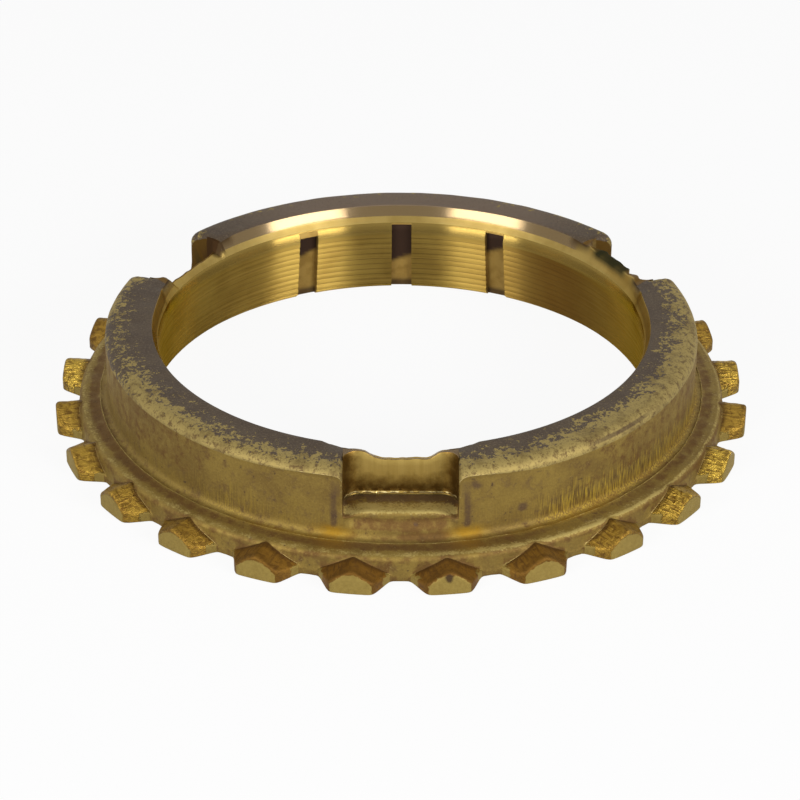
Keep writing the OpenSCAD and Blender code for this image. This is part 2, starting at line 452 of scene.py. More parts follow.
def roof_z(r):
    """Height of a tooth's roof at radius r: from a ridge that is rounder at the tip down to level eaves."""
    out = np.clip((r - ROOT_R) / (TIP_R - ROOT_R), 0, 1)
    half = tip_half[:, None] + (tip_r[:, None] - r * off_cos[:, None]) * FLANK
    over = (r * np.sin(np.radians(tooth_off))[:, None] - ridge_off[:, None] * (1 - out)) / half
    worn = 0.1 + 0.2 * out ** 1.5
    eaves = EAVES_ROOT + (EAVES_TIP - EAVES_ROOT) * out + eaves_off[:, None]
    fall = (np.sqrt(over ** 2 + worn ** 2) - worn) / (np.sqrt(1 + worn ** 2) - worn)
    return ridge_z[:, None] - 0.25 * worn - (ridge_z[:, None] - eaves) * fall


gap = ease(5.7, 7.0, np.abs(tooth_off))
heel_z = roof_z(np.full((stations, 1), ROOT_R))[:, 0]
heel_z = np.maximum(heel_z, 0.4) * (1 - gap) + GAP_Z * gap
arc_end = np.arccos(np.clip((heel_z - (FLANGE_H - FLANGE_ROUND)) / FLANGE_ROUND, 0, 0.9))
arc = arc_end[:, None] * np.linspace(0, 1, 6)
rim_r = ROOT_R - FLANGE_ROUND + FLANGE_ROUND * np.sin(arc)
rim_z = FLANGE_H - FLANGE_ROUND + FLANGE_ROUND * np.cos(arc)
heel_r = rim_r[:, -1:] + np.array([0.015, 0.04, 0.1])
drop_z = rim_z[:, -1:] + (heel_z[:, None] - rim_z[:, -1:]) * np.array([0.35, 0.75, 1.0])
heel_r = np.where(reach[:, None] > 0.15, heel_r, ROOT_R)

tip_round = np.minimum(NOSE_ROUND, 0.27 * reach)[:, None]
short = 0.3 * (1 - np.clip(reach / 0.3, 0, 1))[:, None]
run = np.linspace(0.12, 1, 7)
roof_from = heel_r[:, -1:]
roof_to = np.maximum(out_r[:, None] - tip_round, roof_from)
roof_r = roof_from + (roof_to - roof_from) * run
roof_h = np.maximum(roof_z(roof_r), 0.38) * (1 - gap[:, None]) + GAP_Z * gap[:, None] - short * run
bend = np.radians(np.array([25, 48, 70, 90]))
nose_r = roof_r[:, -1:] + (out_r[:, None] - roof_r[:, -1:]) * np.sin(bend)
nose_h = np.maximum(roof_h[:, -1:] - 1.05 * tip_round * (1 - np.cos(bend)), 0.24)
end_z = nose_h[:, -1:] + (END_LOW - nose_h[:, -1:]) * np.array([0.25, 0.5, 0.75, 1])
end_r = out_r[:, None] + 0 * end_z
tooth_r = np.concatenate([heel_r, roof_r, nose_r, end_r], axis=1)
tooth_z = np.concatenate([drop_z, roof_h, nose_h, end_z], axis=1)

# Toothed face
# The underside of the flange and its teeth is turned towards the gear beside the ring.
# It is faced flat in the lathe, with a small break at its outer edges.
MOUTH_R = 31.37
SOLE_R = 39.0
sole_to = np.where(in_groove, cone(0.0) + GROOVE_DEPTH, MOUTH_R)
sole_share = np.array([0, 0.25, 0.5, 0.7, 0.85, 0.95, 1])
sole_from = np.minimum(out_r - 0.5, SOLE_R)
sole_in = sole_from[:, None] + (sole_to - sole_from)[:, None] * sole_share
sole_r = np.concatenate([out_r[:, None] - np.array([0.03, 0.12]), sole_in], axis=1)
sole_z = np.array([0.04, 0.0] + [0.0] * len(sole_share)) + 0 * sole_r

# Whole skin
# The bands follow each other round the section, from the wide mouth up the bore,
# over the collar and the teeth and back under the toothed face.
MM = 0.001
SIDE_WAVE = 0.03
TOP_WAVE = 0.05
TORN_WAVE = 0.045
HARD_EDGE = np.radians(36)
bands = {
    "mouth": (mouth_r, mouth_z),
    "thread": (thread_r, thread_z),
    "land": (land_r, land_z),
    "lead": (lead_rows_r, lead_rows_z),
    "crown": (crown_r, crown_z),
    "foot": (foot_r, foot_z),
    "fillet": (fillet_r, fillet_z),
    "ledge": (ledge_r, ledge_z),
    "rim": (rim_r, rim_z),
    "tooth": (tooth_r, tooth_z),
    "sole": (sole_r, sole_z),
}
span = {}
first = 0
for name, (band_r, _) in bands.items():
    span[name] = slice(first, first + band_r.shape[1])
    first += band_r.shape[1]
points = first
r = np.concatenate([band[0] for band in bands.values()], axis=1)
z = np.concatenate([band[1] for band in bands.values()], axis=1)


def azimuth(r):
    """Angle of each point at radius r: stations run square to a slot's wall near it, or else radially."""
    lean = np.degrees(np.arcsin(np.clip(across[:, None] / np.minimum(r, FAN_R), -1, 1)))
    near_slot = slot_at[slot_no][:, None] + lean
    return near_slot + radial[:, None] * (slot_off[:, None] - lean)


angle = azimuth(r)
x = r * np.cos(np.radians(angle))
y = r * np.sin(np.radians(angle))
angle = (angle + 180) % 360 - 180

# Forging leaves a faint waviness on everything that is not machined
beside_slot = ~in_slot[:, None]
forged = np.zeros((stations, points))
forged[:, span["crown"]] = beside_slot * ease(RING_H + 0.1, RING_H - 0.5, crown_z)
forged[:, span["foot"]] = 1
forged[:, span["fillet"]] = 0.8
wave = uneven(x, y, z, 7.0, 3) + 0.4 * uneven(x, y, z, 2.2, 4)
x += SIDE_WAVE * forged * wave * np.cos(np.radians(angle))
y += SIDE_WAVE * forged * wave * np.sin(np.radians(angle))
lying = np.zeros((stations, points))
lying[:, span["ledge"]] = 1
lying[:, span["rim"]] = np.linspace(1, 0, 6)
lying[:, span["crown"]] = beside_slot * 0.5 * ease(RING_H - 0.4, RING_H, crown_z)
z += TOP_WAVE * lying * (uneven(x, y, z, 5.0, 5) + 0.5 * uneven(x, y, z, 1.6, 6))
torn = np.zeros((stations, points))
torn_rows = np.array([0, 0, 0] + [1] * 7 + [0.6, 0.3, 0, 0] + [0] * 4)
torn[:, span["tooth"]] = torn_rows * (reach > 0.6)[:, None]
z += TORN_WAVE * torn * (uneven(x, y, z, 1.5, 8) + 0.5 * uneven(x, y, z, 0.8, 9))

# What the finishes need to know of each point
side_all = np.broadcast_to(side[:, None], r.shape)
side_crown = np.broadcast_to(side[:, None], crown_r.shape)
slot_rows = in_slot[:, None]
front_slot = (slot_no == 0)[:, None]

# Worn: edges that were rubbed bright, the bevel where it is dull, and a painted highlight on the teeth's
# heels
worn = np.zeros((stations, points))
to_right = ease(12, 30, front_off)[:, None]
rim_worn = (1 - to_right) * np.array([1.0, 0.95, 0.4, 0.1, 0, 0])
rim_worn = rim_worn + to_right * np.array([0.5, 1.0, 1.0, 0.4, 0, 0])
worn[:, span["rim"]] = rim_worn * (0.62 + 0.45 * np.exp(-((front_off - 32) / 22) ** 2))[:, None]
worn[:, span["ledge"]] = np.array([0.7, 0, 0, 0, 0.4])
slot_worn = np.array([0.1, 0.2] + [0] * 6 + [0.7, 1, 0.3] + [0] * 2)
slot_worn = np.concatenate([slot_worn, [0, 0.3, 0.75, 0.85, 0.85], [0.85, 0.9, 0.3, 0]])
on_edge = np.arange(crown_r.shape[1]) >= crown_r.shape[1] - edge_r.shape[1]
slot_worn = slot_worn * np.where(on_edge, 1 - ease(5.2, 6.2, side_crown), 1)
collar_worn = np.zeros(crown_r.shape) + 0.55 * (brink / BRINK_ROUND)[:, None]
collar_worn[:, 12:15] += np.array([0.4, 1.05, 0.2]) * (1 - 0.8 * softness)
at_wall = (np.abs(side - SLOT_HALF) < HAIR)[:, None]
worn[:, span["crown"]] = np.where(slot_rows, slot_worn, collar_worn) * ~at_wall
# Painted highlight: a bright line along each tooth's heel, only on the side that faces the camera
heel_glint = np.zeros(tooth_r.shape[1])
heel_glint[2] = 1
to_camera = ease(0.3, 1.2, -tooth_off * np.cos(np.radians(station)))
worn[:, span["tooth"]] = heel_glint * (to_camera * (reach > 0.3))[:, None]

# Grime and painted shade: oil dried brown on the ledge, painted shade in the teeth's creases, in the slots
# and towards the collar's sides, and darker bands low on the collar, down the rim, between the teeth and on
# the thread
grime_and_shade = np.zeros((stations, points))
# The concave fillet at the collar's foot gets darker towards its bottom
grime_and_shade[:, span["fillet"]] = np.array([0.05, 0.1, 0.2, 0.3, 0.3, 0.35])
at_front = np.exp(-(front_off / 22) ** 4)
at_left = np.exp(-(((station - 190 + 180) % 360 - 180) / 50) ** 4)
at_right = ease(38, 60, front_off)
ledge_brown = (0.28 + 0.42 * at_front + 0.42 * at_left + 0.3 * at_right)[:, None]
grime_and_shade[:, span["ledge"]] = ledge_brown * np.array([0.2, 0.9, 1.05, 1, 0.5])
# The rim gets darker down its rounding, a little more on the right
grime_and_shade[:, span["rim"]] = np.array([0.18, 0.2, 0.32, 0.45, 0.46, 0.46]) + 0.14 * at_right[:, None]
# Painted shade in the crease where each roof meets the flange; the floor of each gap between the teeth gets
# darker outwards
crease_shade = np.array([0.35, 0.55, 0.95, 0.7, 0.25] + [0] * 13)
gap_darkening = np.array([0.2] * 5 + [0.24, 0.28, 0.32, 0.36] + [0.4] * 9)
grime_and_shade[:, span["tooth"]] = np.where(reach[:, None] > 0.3, crease_shade, gap_darkening)
# Painted shade in the slots: down the wall, in the channel at its foot and on the floor beside it; the
# wall's top is darkened too
slot_shade = np.array([1, 0.9] + [0.2, 0, 0.15, 0.6, 0.85, 1] + [0.3, 0, 0.6] + [0.7, 0.6])
slot_shade = np.concatenate([slot_shade, [0.5, 0.4, 0.1, 0, 0], [0, 0, 0.05, 0.1]])
# Painted shade in the slots' corners and on their flat side walls
corner_depth = np.array([0.9, 0.75, 1.2])[slot_no][:, None]
in_corner = np.where(front_slot, ease(3.4, 6.2, side_crown), ease(4.0, 5.6, side_crown)) * corner_depth
wall_strip = in_corner * (side_crown < 6.53)
grime_and_shade[:, span["crown"]] = np.where(slot_rows, np.maximum(slot_shade, in_corner), wall_strip)
# Painted shade: the collar's side darkens away from the front
grime_and_shade[:, span["crown"]] += 0.42 * ~slot_rows * ease(22, 48, np.abs(front_off))[:, None]
# The collar's foot under each slot is darker
under_slot = (1 - ease(4.6, 6.4, side))[:, None]
grime_and_shade[:, span["foot"]] = under_slot * np.array([0.56, 0.6, 0.6, 0.6, 0.62])
# Painted shade on the bevel beside the slots' ends
by_end = ease(4.2, 5.8, side) * (1 - ease(7.5, 9.0, side))
grime_and_shade[:, span["lead"]] = by_end[:, None] * np.array([0, 0, 0, 0, 0.3, 0.7, 1, 1, 1, 1])
on_sides = 0.65 * ease(26, 40, front_off) * (1 - ease(108, 118, front_off))
on_sides += 0.5 * ease(-118, -112, front_off) * (1 - ease(-90, -76, front_off))
dull_bevel = np.maximum((slot_no == 1) * (1 - ease(6.5, 7.5, side)), on_sides)
worn[:, span["lead"]] = dull_bevel[:, None] * np.array([1] * 9 + [0])
# The fillet under each slot is darker, more so right of the slot's middle
fillet_darkening = under_slot * (0.25 + 0.5 * ease(-2, 4, across))[:, None]
grime_and_shade[:, span["fillet"]] += fillet_darkening * np.array([0.7, 1, 1, 0.7, 0.3, 0])

# Tar and painted shadow: the lump in the right slot and the spot on the first tooth, and painted shadow in
# the channel at the foot of the slots' walls
tar_and_shadow = np.zeros((stations, points))
tar_and_shadow[:, span["crown"]] = slot_rows * lump[:, None] * np.array([1] * 5 + [0.6] + [0] * 16)
tar_and_shadow[:, span["lead"]] = lump[:, None] * np.array([0, 0, 0, 0.1, 0.6, 1, 1, 1, 1, 1])
mark_along = np.radians(tooth_off)[:, None] * tooth_r + 0.1
mark = np.exp(-(mark_along / 0.5) ** 2 - ((tooth_z - 2.2) / 0.5) ** 2)
tar_and_shadow[:, span["tooth"]] = 1.4 * mark * (tooth_no == 0)[:, None] * (tooth_r > TIP_R - 1)
# Painted shadow in the channel at the foot of each slot's wall
tar_and_shadow[:, span["crown"]] += slot_rows * np.array([0] * 11 + [0.9, 0.9, 0.85, 0.45] + [0] * 7)

# The scale on the top face ends raggedly: this is how far a point lies inside its edge
back_stretch = ease(30, 40, angle) * (1 - ease(143, 152, angle))
ashen = ease(42, 66, angle) * (1 - ease(112, 136, angle))
left_end = np.minimum(ease(150, 168, angle) + ease(-148, -178, angle), 1)
right_end = ease(-8, 10, angle) * (1 - ease(24, 34, angle))
right_mid = ease(-66, -50, angle) * (1 - ease(-14, 4, angle))
scale_r = 33.5 + 2.6 * back_stretch + 1.3 * left_end - 0.7 * right_mid + 0.5 * right_end
scale_r += 0.6 * np.exp(-((front_off + 25) / 25) ** 2)[:, None]
scale_in = scale_r - r - 2.2 * (1 - 0.75 * back_stretch) * (RING_H - z) * ease(32.5, 34.5, r)
edge_left = np.exp(-((front_off + 79) / 19) ** 4)[:, None]
scale_in = np.maximum(scale_in, 4.8 * edge_left - 3.6 - 0.8 * np.abs(r - 35.4))

# Streak: where the trimming die wiped the side of the collar
streak = ease(3.3, 3.5, z) * (1 - ease(5.0, 8.4, z + 0.8 * uneven(x, y, 0 * z, 2.0, 12)))
wiped = ease(-68, -58, angle) * (1 - ease(-10, 6, angle))
wiped += 0.25 * np.exp(-((angle + 122) / 8) ** 2)
wiped += 0.7 * ease(40, 60, angle) * (1 - ease(110, 130, angle))
streak *= np.clip(wiped + 0.08, 0, 1)

# Soot and painted shade: oil burnt into the ends of the grooves, and painted shade in the roots of the
# thread
dark_from = np.array([5.6, 4.6, 6.0, 7.0, 4.3, 6.3, 5.6, 4.8, 6.2])[groove_no][:, None]
slant = np.radians(groove_off)[:, None] * CONE_R
soot_and_shade = ease(-0.35, 0.45, z - dark_from + 0.4 * slant) + 0.8 * (1 - ease(0.5, 1.3, z))
soot_and_shade = np.clip(soot_and_shade, 0, 1) * in_groove[:, None] * (z < blind_z[:, None])
# Painted shade in the roots of the thread
soot_and_shade[:, span["thread"]] += 0.7 * ease(0.92, 1.0, thread_cut)
# The thread is darker and redder at the back right
darker_back_right = np.exp(-((angle - 46) / 17) ** 2)
grime_and_shade[:, span["thread"]] = 0.7 * darker_back_right[:, span["thread"]]

# Dark marks and painted shade: dark upright bands beside the slots, single spots, a gash and lines on the
# collar's rounding, and painted shade at the far end of the left slot
dark_marks_and_shade = np.exp(-((side_all - 7.5) / 0.4) ** 2) * ease(4.2, 5.0, z) * (1 - ease(8.2, 9.6, z))
for at, high, wide, tall in ((-76.5, 10.13, 0.5, 0.45), (-67.5, 6.01, 0.55, 0.5), (-87.3, 5.17, 0.2, 0.2)):
    dark_marks_and_shade += 1.3 * np.exp(-((np.radians(angle - at) * r / wide) ** 2) - ((z - high) / tall) ** 2)
gash = (angle + 44.8) / 14.0
dark_marks_and_shade += 1.2 * np.exp(-((z - 11.4) / 0.16) ** 2 - (4 * gash ** 4)) * (r > 35.0)
dark_marks_and_shade += 0.5 * np.exp(-((side_all - 7.2) / 0.8) ** 2) * ease(8.5, 9.2, z) * (1 - ease(10.4, 11, z))
on_left = ease(-88, -76, front_off) * (1 - ease(-34, -22, front_off))
dark_marks_and_shade += 0.5 * on_left[:, None] * np.exp(-((z - 10.35) / 0.14) ** 2) * (r > 35)
# Painted shade at the far end of the left slot
far_end = ((slot_no == 2) * ease(4.9, 5.7, -across) * in_slot)[:, None]
dark_marks_and_shade[:, span["crown"]] += far_end * np.array([1] * 8 + [0] * 14)
dark_marks_and_shade[:, span["lead"]] = far_end * np.array([0, 0, 0.3, 0.8, 1, 1, 1, 1, 1, 1])

# Bounce light: a painted golden glow of light thrown between brass faces at the foot of the collar
bounce_light = 1.2 * np.exp(-((side_all - 7.6) / 2.0) ** 2 - ((z - 4.0) / 0.7) ** 2)
bounce_light += 0.3 * wiped * ease(3.3, 3.5, z) * (1 - ease(4.2, 6.0, z)) * (r < 37)
bounce_light += 0.7 * ease(-76, -66, angle) * (1 - ease(-54, -44, angle)) * np.exp(-((r - 36.85) / 0.35) ** 2)
bounce_light += 0.6 * ease(-126, -116, angle) * (1 - ease(-106, -100, angle)) * np.exp(-((r - 36.85) / 0.3) ** 2)

# Brown: how far each tooth is stained, to the right and to the left from the front slot
brown_right = np.array([0.95, 0.9, 0.62, 0.4, 0.24, 0.6, 0.34, 0.6, 0.4, 0.3, 0.4, 0.3])
brown_left = np.array([0.95, 0.9, 0.64, 0.55, 0.52, 0.56, 0.25, 0.7, 0.4, 0.4, 0.3, 0.4])
brown = np.concatenate([brown_right, brown_left[::-1]])[tooth_no][:, None] + 0 * r

# Only every few stations carry on into the bore, where nothing but grooves breaks the round
BY_GROOVE = 1.6
ON_STEP = 0.01
bore_keep = np.abs(np.radians(groove_off)) * CONE_R < BY_GROOVE
for step in (0.0, 2.2, 4.7, TOOTH_PITCH / 2):
    bore_keep |= np.abs(np.abs(tooth_off) - step) < ON_STEP
for step in (0.25, 3.0, 4.8, 5.9, 6.8, 8.2):
    bore_keep |= np.abs(side - step) < ON_STEP
kept = np.flatnonzero(bore_keep)
bore_rows = np.arange(points) < span["lead"].start
used = bore_keep[:, None] | ~bore_rows
corner = np.cumsum(used.ravel()).reshape(used.shape) - 1


def between(one, other, at):
    """Corner numbers of the four-sided faces between two stations, from row at to the next."""
    numbers = [corner[one, at], corner[one, at + 1], corner[other, at + 1], corner[other, at]]
    return np.stack(numbers, axis=-1)


grid = np.arange(span["lead"].start, points - 1)
here = np.repeat(np.arange(stations), len(grid))
row = np.tile(grid, stations)
ahead = (here + 1) % stations
quads = between(here, ahead, row)
bore_grid = np.arange(0, span["lead"].start - 1)
bore_here = np.repeat(kept, len(bore_grid))
bore_ahead = np.repeat(np.roll(kept, -1), len(bore_grid))
bore_row = np.tile(bore_grid, len(kept))
bore_quads = between(bore_here, bore_ahead, bore_row)
joins = []
top_row = span["lead"].start
for a, b in zip(kept, np.roll(kept, -1)):
    passed = np.arange(a, b + 1 if b > a else b + stations + 1) % stations
    joins.append([corner[a, top_row - 1], *corner[passed, top_row], corner[b, top_row - 1]])
    joins.append([*corner[passed[::-1], points - 1], corner[a, 0], corner[b, 0]])

place = np.stack([x, y, z], axis=-1)[used] * MM
skin = bpy.data.meshes.new("synchronizer_ring_skin")
join_faces = [[int(number) for number in join] for join in joins]
skin.from_pydata(place, [], quads.tolist() + bore_quads.tolist() + join_faces)
skin.update(calc_edges=True)
skin.shade_smooth()
skin.set_sharp_from_angle(angle=HARD_EDGE)

# The flat side walls of the slots keep a hard shading edge all round
in_crown_rows = (np.arange(points) >= span["crown"].start) & (np.arange(points) < span["crown"].stop)
wall_point = (at_wall & in_crown_rows)[used]
station_of = np.broadcast_to(np.arange(stations)[:, None], r.shape)[used]
ends = np.zeros(2 * len(skin.edges), dtype=np.int32)
skin.edges.foreach_get("vertices", ends)
ends = ends.reshape(-1, 2)
hard = np.zeros(len(skin.edges), dtype=bool)
skin.attributes["sharp_edge"].data.foreach_get("value", hard)
hard |= wall_point[ends].all(axis=1) & (station_of[ends[:, 0]] == station_of[ends[:, 1]])
skin.attributes["sharp_edge"].data.foreach_set("value", hard)

for name, value in (
    ("worn", worn),
    ("grime_and_shade", grime_and_shade),
    ("tar_and_shadow", tar_and_shadow),
    ("scale_in", scale_in),
    ("ashen", ashen),
    ("streak", streak),
    ("soot_and_shade", soot_and_shade),
    ("dark_marks_and_shade", dark_marks_and_shade),
    ("bounce_light", bounce_light),
    ("brown", brown),
):
    skin.attributes.new(name, "FLOAT", "POINT").data.foreach_set("value", value[used].astype(np.float32))
# The lay of a point: how far out, how far from its tooth's middle and how high
along = np.radians(tooth_off)[:, None] * r
lay = np.stack([r, along, z], axis=-1)[used]
lay_store = skin.attributes.new("lay", "FLOAT_VECTOR", "POINT")
lay_store.data.foreach_set("vector", lay.astype(np.float32).ravel())
ring = bpy.data.objects.new("brass_ring", skin)
bpy.context.scene.collection.objects.link(ring)
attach(ring, "root")
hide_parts("synchronizer_ring")

# Turned brass
# The bore is bare brass straight from the lathe tool. Its fine rings throw every light
# into an upright band, and old oil has burnt brown into the blind ends of the grooves.
PER_MM = 1 / MM
ROUND_THE_BORE = (1, 0.004, 1)


def linear(code):
    """A colour written as sRGB hex, as the linear values that the shader takes."""
    level = np.array([int(code[i:i + 2], 16) for i in (1, 3, 5)]) / 255
    value = np.where(level <= 0.04045, level / 12.92, ((level + 0.055) / 1.055) ** 2.4)
    return (*value.tolist(), 1.0)


def add(tree, kind, feeds, out=0, **settings):
    """Adds one node with its settings, feeds its inputs with values or sockets, and gives one output."""
    made = tree.nodes.new("ShaderNode" + kind)
    for name, value in settings.items():
        setattr(made, name, value)
    for key, value in feeds.items():
        if isinstance(value, bpy.types.NodeSocket):
            tree.links.new(value, made.inputs[key])
        else:
            made.inputs[key].default_value = value
    return made.outputs[out] if made.outputs else None


def finish_on_ring(name, *stored):
    """A new finish at the end of the ring's list: its tree, the place on the ring and stored values."""
    made = bpy.data.materials.new(name)
    made.use_nodes = True
    tree = made.node_tree
    tree.nodes.clear()
    skin.materials.append(made)
    values = [add(tree, "Attribute", {}, "Fac", attribute_name=value) for value in stored]
    return tree, add(tree, "TexCoord", {}, "Object"), *values


def layered(tree, metal, layers):
    """Colours laid over metal in turn, each by most times how far its value has come from low to high."""
    for value, low, high, most, code in layers:
        share = add(tree, "MapRange", {0: value, 1: low, 2: high, 4: most})
        metal = add(tree, "Mix", {0: share, 6: metal, 7: linear(code)}, 2, data_type="RGBA")
    return metal


GRAZED = linear("#f4dca0")
tree, place_in, grime_and_shade_in, soot_and_shade_in = finish_on_ring("turned_brass", "grime_and_shade", "soot_and_shade")
lay_in = add(tree, "Attribute", {}, "Vector", attribute_name="lay")
height_in = add(tree, "SeparateXYZ", {0: lay_in}, "Z")
# The tool's rings are finer than the picture shows, so they are drawn 0.16 mm wide
ring_lay = add(tree, "Mapping", {"Vector": lay_in, "Scale": ROUND_THE_BORE})
rings = add(tree, "TexNoise", {"Vector": ring_lay, "Scale": 1 / 0.16, "Detail": 3.0})
cloud = add(tree, "TexNoise", {"Vector": place_in, "Scale": PER_MM / 6, "Detail": 4.0})
metal = layered(tree, linear("#937a3a"), (
    (cloud, 0.42, 0.62, 1, "#846b31"),
    (rings, 0.45, 0.7, 0.5, "#ab8d48"),
    (height_in, 8.4, 8.7, 0.8, "#86703a"),
    # The thread's darker band at the back right
    (grime_and_shade_in, 0, 1, 1, "#6c4a20"),
    # Soot in the grooves' ends, and painted shade in the thread's roots
    (soot_and_shade_in, 0, 1, 1, "#4a3629"),
))
rough = add(tree, "MapRange", {0: soot_and_shade_in, 1: 0.5, 3: 0.4, 4: 0.6})
smoother = add(tree, "MapRange", {0: height_in, 1: 8.5, 2: 8.9, 4: 0.14})
rough = add(tree, "Math", {0: rough, 1: smoother}, operation="SUBTRACT")
bump = add(tree, "Bump", {"Height": rings, "Strength": 0.2, "Distance": 0.02 * MM})
shader = add(tree, "BsdfPrincipled", {
    "Base Color": metal,
    "Metallic": 1.0,
    "Roughness": rough,
    "Specular Tint": GRAZED,
    "Anisotropic": 1.0,
    "Anisotropic Rotation": 0.25,
    "Normal": bump,
})
add(tree, "OutputMaterial", {"Surface": shader})

# Burnished bevel
# The bevel and the rounded edge above it were burnished: dull tan from most sides,
# but they mirror the soft boxes almost white.
tree, place_in, worn_and_glint_in, grime_and_shade_in, dark_marks_and_shade_in, tar_and_shadow_in = finish_on_ring(
    "burnished_brass", "worn", "grime_and_shade", "dark_marks_and_shade", "tar_and_shadow")
lay_in = add(tree, "Attribute", {}, "Vector", attribute_name="lay")
height_in = add(tree, "SeparateXYZ", {0: lay_in}, "Z")
cloud = add(tree, "TexNoise", {"Vector": place_in, "Scale": PER_MM / 3, "Detail": 5.0})
polished = add(tree, "MapRange", {0: height_in, 1: 10.66, 2: 10.76})
polished = add(tree, "Math", {0: polished, 1: worn_and_glint_in}, operation="SUBTRACT", use_clamp=True)
# Painted shade beside the slots' ends and at the far end of the left slot
dull = add(tree, "Math", {0: grime_and_shade_in, 1: dark_marks_and_shade_in}, operation="MAXIMUM")
metal = layered(tree, linear("#a48c50"), (
    (cloud, 0.42, 0.6, 1, "#988046"),
    (polished, 0, 1, 1, "#735e3b"),
    (dull, 0, 1, 1, "#463522"),
    (tar_and_shadow_in, 0, 1, 1, "#302d18"),
))
dull = add(tree, "Math", {0: dull, 1: tar_and_shadow_in}, operation="MAXIMUM")
clean = add(tree, "MapRange", {0: dull, 3: 1, 4: 0})
polished = add(tree, "Math", {0: polished, 1: clean}, operation="MULTIPLY")
rough = add(tree, "MapRange", {0: polished, 3: 0.42, 4: 0.2})
shader = add(tree, "BsdfPrincipled", {
    "Base Color": metal,
    "Metallic": add(tree, "MapRange", {0: dull, 3: 0.9, 4: 0.2}),
    "Roughness": add(tree, "Math", {0: dull, 1: 0.35, 2: rough}, operation="MULTIPLY_ADD"),
    "Specular IOR Level": 0.2,
    "Specular Tint": GRAZED,
    "Anisotropic": 0.8,
    "Anisotropic Rotation": 0.25,
    "Coat Weight": add(tree, "MapRange", {0: polished, 4: 0.5}),
    "Coat Roughness": 0.15,
})
add(tree, "OutputMaterial", {"Surface": shader})

# Milled grooves
# A small cutter left the oil grooves dull and evenly tan,
# and oil has burnt dark into their blind ends.
tree, place_in, soot_and_shade_in = finish_on_ring("milled_brass", "soot_and_shade")
cloud = add(tree, "TexNoise", {"Vector": place_in, "Scale": PER_MM / 1.5, "Detail": 5.0})
metal = layered(tree, linear("#94783c"), (
    (cloud, 0.42, 0.6, 1, "#866a31"),
    (soot_and_shade_in, 0, 1, 1, "#352419"),
))
shader = add(tree, "BsdfPrincipled", {
    "Base Color": metal,
    "Metallic": 0.5,
    "Roughness": 0.55,
    "Specular IOR Level": 0.2,
})
add(tree, "OutputMaterial", {"Surface": shader})

# Forging scale
# The forging's own skin stays on the flat top: dark brown-grey oxide, dull and finely grained,
# rubbed through in ragged flecks to olive brass towards the rounded edge.
tree, place_in, scale_edge, ashen_in, worn_and_glint_in, dark_marks_and_shade_in = finish_on_ring(
    "forging_scale", "scale_in", "ashen", "worn", "dark_marks_and_shade")
# Size in millimetres, detail and roughness of each pattern
flakes, grain, cloud, mottle = (
    add(tree, "TexNoise", {"Vector": place_in, "Scale": PER_MM / size, "Detail": fine, "Roughness": rough})
    for size, fine, rough in ((0.9, 3.0, 0.9), (0.28, 4.0, 0.75), (4, 6.0, 0.65), (0.9, 5.0, 0.75)))
ragged = add(tree, "Math", {0: flakes, 1: 15.0, 2: -7.5}, operation="MULTIPLY_ADD")
ragged = add(tree, "Math", {0: ragged, 1: scale_edge}, operation="ADD")
scaled = add(tree, "MapRange", {0: ragged, 1: -0.12, 2: 0.12})
oxide = layered(tree, linear("#4c3e2c"), (
    (cloud, 0.4, 0.6, 1, "#403222"),
    (ashen_in, 0, 1, 1, "#6c5b4a"),
    (grain, 0.53, 0.66, 0.6, "#6c5c4a"),
    (grain, 0.47, 0.36, 0.6, "#372b20"),
))
rubbed_and_glint = add(tree, "Math", {0: flakes, 1: 2.4, 2: -1.45}, operation="MULTIPLY_ADD")
rubbed_and_glint = add(tree, "Math", {0: rubbed_and_glint, 1: worn_and_glint_in}, operation="ADD")
metal = layered(tree, linear("#94824e"), (
    (cloud, 0.5, 0.6, 0.6, "#6b5934"),
    (grain, 0.53, 0.64, 0.6, "#54402a"),
    (mottle, 0.53, 0.58, 0.75, "#5a452b"),
    (grain, 0.46, 0.36, 0.5, "#94824c"),
    (rubbed_and_glint, 0.6, 0.8, 0.9, "#b8a470"),
    (dark_marks_and_shade_in, 0.3, 0.7, 0.85, "#46352a"),
))
height = add(tree, "Math", {0: grain, 1: 0.6, 2: scaled}, operation="MULTIPLY_ADD")
bump = add(tree, "Bump", {"Height": height, "Strength": 0.6, "Distance": 0.06 * MM})
shader = add(tree, "BsdfPrincipled", {
    "Base Color": add(tree, "Mix", {0: scaled, 6: metal, 7: oxide}, 2, data_type="RGBA"),
    "Metallic": add(tree, "MapRange", {0: scaled, 3: 0.8, 4: 0}),
    "Roughness": add(tree, "MapRange", {0: scaled, 3: 0.66, 4: 0.6}),
    "Specular IOR Level": 0.3,
    "Normal": bump,
})
add(tree, "OutputMaterial", {"Surface": shader})

# Forged brass
# Side of the collar, ledge and flange: matt olive brass with brown blotches and specks,
# wiped in fine upright streaks by the trimming die and rubbed bright along its edges.
# Painted light lies on it too: shade in the slots' channels and towards the collar's sides, a golden bounce
# glow, and a bright line on the teeth's heels
UPRIGHT = (1, 1, 0.06)
tree, place_in, streak_in, grime_and_shade_in, tar_and_shadow_in, bounce_light_in, dark_marks_and_shade_in, worn_and_glint_in = finish_on_ring(
    "forged_brass", "streak", "grime_and_shade", "tar_and_shadow", "bounce_light", "dark_marks_and_shade", "worn")
cloud, mottle, grain, specks = (
    add(tree, "TexNoise", {"Vector": place_in, "Scale": PER_MM / size, "Detail": fine, "Roughness": rough})
    for size, fine, rough in ((7, 5.0, 0.6), (1.4, 7.0, 0.7), (0.25, 3.0, 0.65), (0.7, 2.0, 0.5)))
